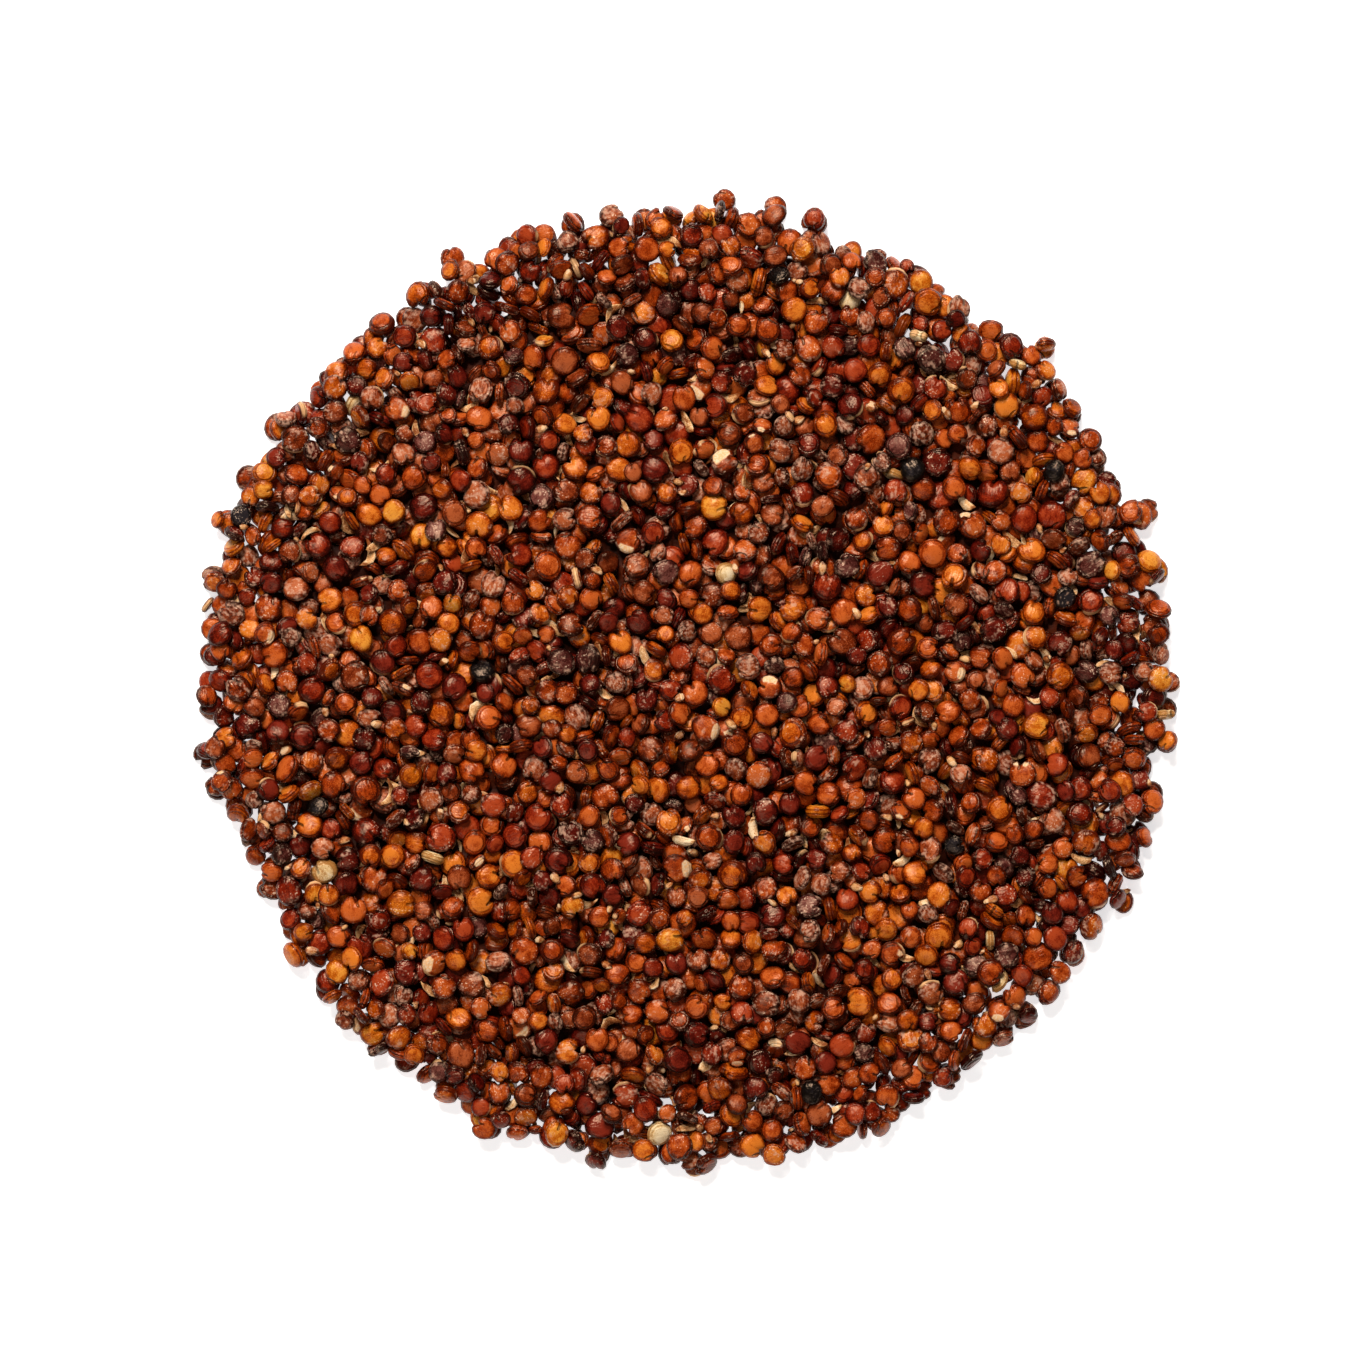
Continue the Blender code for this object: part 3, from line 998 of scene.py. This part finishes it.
def seed_coat_group():
    """Colour, roughness and height of a coat from its three colours and its marks.

    The shade moves the coat from its shaded through its middle to its bright colour. It is a sum
    of the seed's tone, noise and marks, each times its weight, as are roughness and height. The rim
    part is partly painted shade at the seed's edge, and the girdle darkens its groove as painted
    shade. Dust, crumbs, the crescent, the cleft and the starch inside are then mixed over the coat
    in turn.
    """
    group, wire, entry, result = shader_group(
        "seed_coat",
        {
            "Grain": "Vector", "Lot": "Vector", "Own Place": "Vector", "Cleft": "Float",
            "Crescent": "Float", "Ring": "Float", "Dust": "Float", "Inside": "Float",
            "Girdle": "Float", "Wrinkles": "Float", "Shaded": "Color", "Middle": "Color",
            "Bright": "Color", "Least Roughness": "Float",
        },
        {"Color": "Color", "Roughness": "Float", "Height": "Float"},
    )
    tone, lot_dust, _ = wire.parts(entry["Lot"])
    x, y, _ = wire.parts(entry["Grain"])
    far = wire.distance(wire.place(x, y, 0.0), (0.0, 0.0, 0.0))
    mottle = wire.noise(entry["Own Place"], MOTTLE_SCALE)
    fine = wire.noise(entry["Own Place"], FINE_SCALE, FINE_DETAIL)
    flecks = wire.noise(entry["Own Place"], FLECK_SCALE)
    values = {
        # rim: partly painted shade at each seed's edge, partly a darker rim the coat has
        "tone": tone, "mottle": mottle, "fine": fine, "rim": wire.ramp(far, *RIM_SHADE_FADE),
        # girdle: painted shade in the groove at the waist, as well as its height
        "wrinkles": entry["Wrinkles"], "ring": entry["Ring"], "girdle": entry["Girdle"],
        "cleft": entry["Cleft"], "dust": entry["Dust"], "inside": entry["Inside"],
        "dark flecks": wire.ramp(flecks, *DARK_FLECKS),
        "bright flecks": wire.ramp(flecks, *BRIGHT_FLECKS),
    }

    shade = wire.weighed(SHADE_START, SHADE_WEIGHTS, values)
    colour = wire.mix(wire.ramp(shade, *MIDDLE_FADE), entry["Shaded"], entry["Middle"])
    colour = wire.mix(wire.ramp(shade, *BRIGHT_FADE), colour, entry["Bright"])
    dust = wire.math("MULTIPLY", entry["Dust"], DUST_STRENGTH)
    colour = wire.mix(dust, colour, paint(DUST_COLOUR))
    crumbs = wire.math("MULTIPLY", wire.ramp(fine, *CRUMB_FINE), wire.ramp(mottle, *CRUMB_MOTTLE))
    crumbs = wire.math("MULTIPLY", crumbs, wire.ramp(lot_dust, *CRUMB_DUST))
    crumbs = wire.math("MULTIPLY", crumbs, CRUMB_STRENGTH)
    colour = wire.mix(crumbs, colour, paint(CRUMB_COLOUR))
    colour = wire.mix(entry["Crescent"], colour, paint(RIM_COLOUR))
    cleft = wire.math("MULTIPLY", entry["Cleft"], CLEFT_DARKNESS)
    colour = wire.mix(cleft, colour, paint(CLEFT_COLOUR))
    starch = wire.mix(wire.ramp(fine, *STARCH_FADE), paint(RIM_COLOUR), paint(STARCH_COLOUR))
    colour = wire.mix(entry["Inside"], colour, starch)

    rough = wire.weighed(entry["Least Roughness"], ROUGHNESS_WEIGHTS, values)
    height = wire.weighed(0.0, HEIGHT_WEIGHTS, values)
    put_out(group, result, {"Color": colour, "Roughness": rough, "Height": height})
    return group


def core_relief_group():
    """Seed-sized cells for the core in painted shade, on Object coordinates in metres.

    Each cell has a tone of its own, and its tone and height fade from its middle outwards, so the
    cells are darker where they meet, as painted shade between seeds.
    """
    group, wire, entry, result = shader_group(
        "core_shaded_cells", {"Place": "Vector"}, {"Color": "Color", "Roughness": "Float", "Height": "Float"}
    )
    cells = wire.node(
        "ShaderNodeTexVoronoi",
        {"Vector": entry["Place"], "Scale": 1.0 / (BUMP_PITCH * MM), "Randomness": CORE_UNEVEN},
    )
    tone = wire.parts(cells.outputs["Color"])[0]
    from_middle = cells.outputs["Distance"]
    fine = wire.noise(entry["Place"], CORE_FINE_SCALE, FINE_DETAIL)
    # Painted shade: each cell darkens from its middle out to where it meets the next
    share = wire.math("MULTIPLY", tone, wire.ramp(from_middle, *CORE_SHADE_FADE))
    dark, light = (paint(colour) for colour in CORE_SHADE_COLOURS)
    colour = wire.mix(wire.math("MULTIPLY_ADD", fine, CORE_FINE, share), dark, light)
    rough = wire.math("MULTIPLY_ADD", fine, CORE_FINE, CORE_ROUGHNESS)
    crown = wire.ramp(from_middle, *CORE_CROWN_FADE)
    height = wire.math("MULTIPLY_ADD", fine, CORE_FINE_HEIGHT, crown)
    put_out(group, result, {"Color": colour, "Roughness": rough, "Height": height})
    return group


SEED_MARKS = seed_marks_group()
SEED_COAT = seed_coat_group()
CORE_SHADED_CELLS = core_relief_group()


def new_material(name):
    """A material with its wiring and its shader."""
    material = bpy.data.materials.new(name)
    material.use_nodes = True
    wire = Wiring(material.node_tree)
    return material, wire, material.node_tree.nodes["Principled BSDF"]


def finish_coat(wire, shader, group, depth):
    """Feed the shader from a group's colour, roughness and height, with relief of this depth."""
    links = wire.tree.links
    bump = wire.node(
        "ShaderNodeBump", {"Height": group.outputs["Height"], "Distance": depth, "Strength": 1.0}
    )
    links.new(group.outputs["Color"], shader.inputs["Base Color"])
    links.new(group.outputs["Roughness"], shader.inputs["Roughness"])
    links.new(bump.outputs["Normal"], shader.inputs["Normal"])


def coat_material(kind):
    """Satin coat of one kind of seed or scrap."""
    material, wire, shader = new_material(f"{kind}_coat")
    read = {
        name.capitalize(): wire.node("ShaderNodeAttribute", attribute_name=name).outputs["Vector"]
        for name in ("grain", "lot", "marks")
    }
    cut = wire.node("ShaderNodeAttribute", attribute_name="cut").outputs["Fac"]
    marks = wire.node("ShaderNodeGroup", node_tree=SEED_MARKS)
    coat = wire.node("ShaderNodeGroup", node_tree=SEED_COAT)
    for socket in ("Grain", "Lot", "Marks"):
        wire.tree.links.new(read[socket], marks.inputs[socket])
    wire.tree.links.new(cut, marks.inputs["Cut"])
    for socket in ("Grain", "Lot"):
        wire.tree.links.new(read[socket], coat.inputs[socket])
    for output in marks.outputs:
        wire.tree.links.new(output, coat.inputs[output.name])
    shades = COATS[COAT_OF.get(kind, kind)]
    for socket, colour in zip(("Shaded", "Middle", "Bright"), shades):
        coat.inputs[socket].default_value = paint(colour)
    coat.inputs["Least Roughness"].default_value = KINDS[kind][2]
    shader.inputs["Specular IOR Level"].default_value = COAT_SPECULAR
    shader.inputs["Specular Tint"].default_value = COAT_GLOSS_TINT
    finish_coat(wire, shader, coat, COAT_RELIEF)
    return material


def core_material():
    """Seed-brown of the core, darkened as painted shade for the seeds deep in the heap."""
    material, wire, shader = new_material("shaded_core")
    place = wire.node("ShaderNodeTexCoord").outputs["Object"]
    cells = wire.node("ShaderNodeGroup", node_tree=CORE_SHADED_CELLS)
    wire.tree.links.new(place, cells.inputs["Place"])
    shader.inputs["Specular IOR Level"].default_value = CORE_SPECULAR
    finish_coat(wire, shader, cells, CORE_RELIEF)
    return material


def floor_piece():
    """Plain pale floor under the heap."""
    corners = [(x * FLOOR_HALF, y * FLOOR_HALF, 0.0) for x, y in ((-1, -1), (1, -1), (1, 1), (-1, 1))]
    mesh = bpy.data.meshes.new("floor")
    mesh.from_pydata(corners, [], [(0, 1, 2, 3)])
    material, _, shader = new_material("pale_floor")
    shader.inputs["Emission Color"].default_value = paint(FLOOR_COLOUR)
    shader.inputs["Emission Strength"].default_value = FLOOR_GLOW
    shader.inputs["Base Color"].default_value = paint(FLOOR_COLOUR)
    shader.inputs["Roughness"].default_value = FLOOR_ROUGHNESS
    shader.inputs["Specular IOR Level"].default_value = FLOOR_SPECULAR
    mesh.materials.append(material)
    floor = bpy.data.objects.new("floor", mesh)
    bpy.context.scene.collection.objects.link(floor)


def lights_and_camera():
    """Two lights from the photograph's top, a weak one opposite, and a camera straight above.

    The lens makes the photograph's frame, at its real width, fill the sensor: it is the sensor
    times the distance down to the level at that scale, over the width.
    """
    scene = bpy.context.scene
    for name, (side, lean, turn, power) in LIGHTS.items():
        lamp = bpy.data.lights.new(name, "AREA")
        lamp.shape = "SQUARE"
        lamp.size = side
        lamp.energy = power
        lamp.color = LIGHT_COLOUR
        light = bpy.data.objects.new(name, lamp)
        aim = Matrix.Rotation(math.radians(turn), 4, "Z") @ Matrix.Rotation(math.radians(-lean), 4, "X")
        light.matrix_world = aim @ Matrix.Translation((0.0, 0.0, LIGHT_DISTANCE))
        scene.collection.objects.link(light)

    scene.world = bpy.data.worlds.new("surround")
    scene.world.use_nodes = True
    background = scene.world.node_tree.nodes["Background"]
    background.inputs["Color"].default_value = WORLD_COLOUR
    background.inputs["Strength"].default_value = WORLD_STRENGTH
    scene.view_settings.view_transform = "Standard"

    lens = bpy.data.cameras.new("photo_view")
    lens.sensor_width = SENSOR_MM
    lens.lens = SENSOR_MM * (CAMERA_HEIGHT - SCALE_LEVEL) / (PHOTO_SIDE * MM_PER_PIXEL * MM)
    camera = bpy.data.objects.new("photo_view", lens)
    x, y = photo_place((0.5 * PHOTO_SIDE, 0.5 * PHOTO_SIDE))
    camera.location = (x * MM, y * MM, CAMERA_HEIGHT)
    scene.collection.objects.link(camera)
    scene.camera = camera


def place_piece(piece):
    """A finished piece rides on the heap's body and stands for the CAD heap."""
    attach(piece, BODY)
    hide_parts(HEAP)


def build_heap():
    """Pack the seeds, then make the core, a piece for each kind of seed, and the scraps."""
    rng = np.random.default_rng(SEED)
    bed = Bed()
    laid, husks = pack_heap(rng, bed)
    kinds, showing = choose_kinds(rng, bed, laid)
    bits = scatter(rng, bed, BIT_COUNT, BIT_RADIUS, BIT_SEMI)
    place_piece(core_piece())
    for kind, (_, _, _, slot) in KINDS.items():
        chosen = [laid[i] for i in np.nonzero(showing & (kinds == kind))[0]]
        if chosen:
            place_piece(seed_piece(rng, f"{kind}_seeds", kind, chosen, SEEN_GRID))
    buried = [laid[i] for i in np.nonzero(~showing)[0]]
    place_piece(seed_piece(rng, "buried_seeds", "chestnut", buried, BURIED_GRID))
    place_piece(seed_piece(rng, "husk_flakes", "husk", husks, SCRAP_GRID))
    place_piece(seed_piece(rng, "broken_bits", "bit", bits, SCRAP_GRID))


build_heap()
floor_piece()
lights_and_camera()
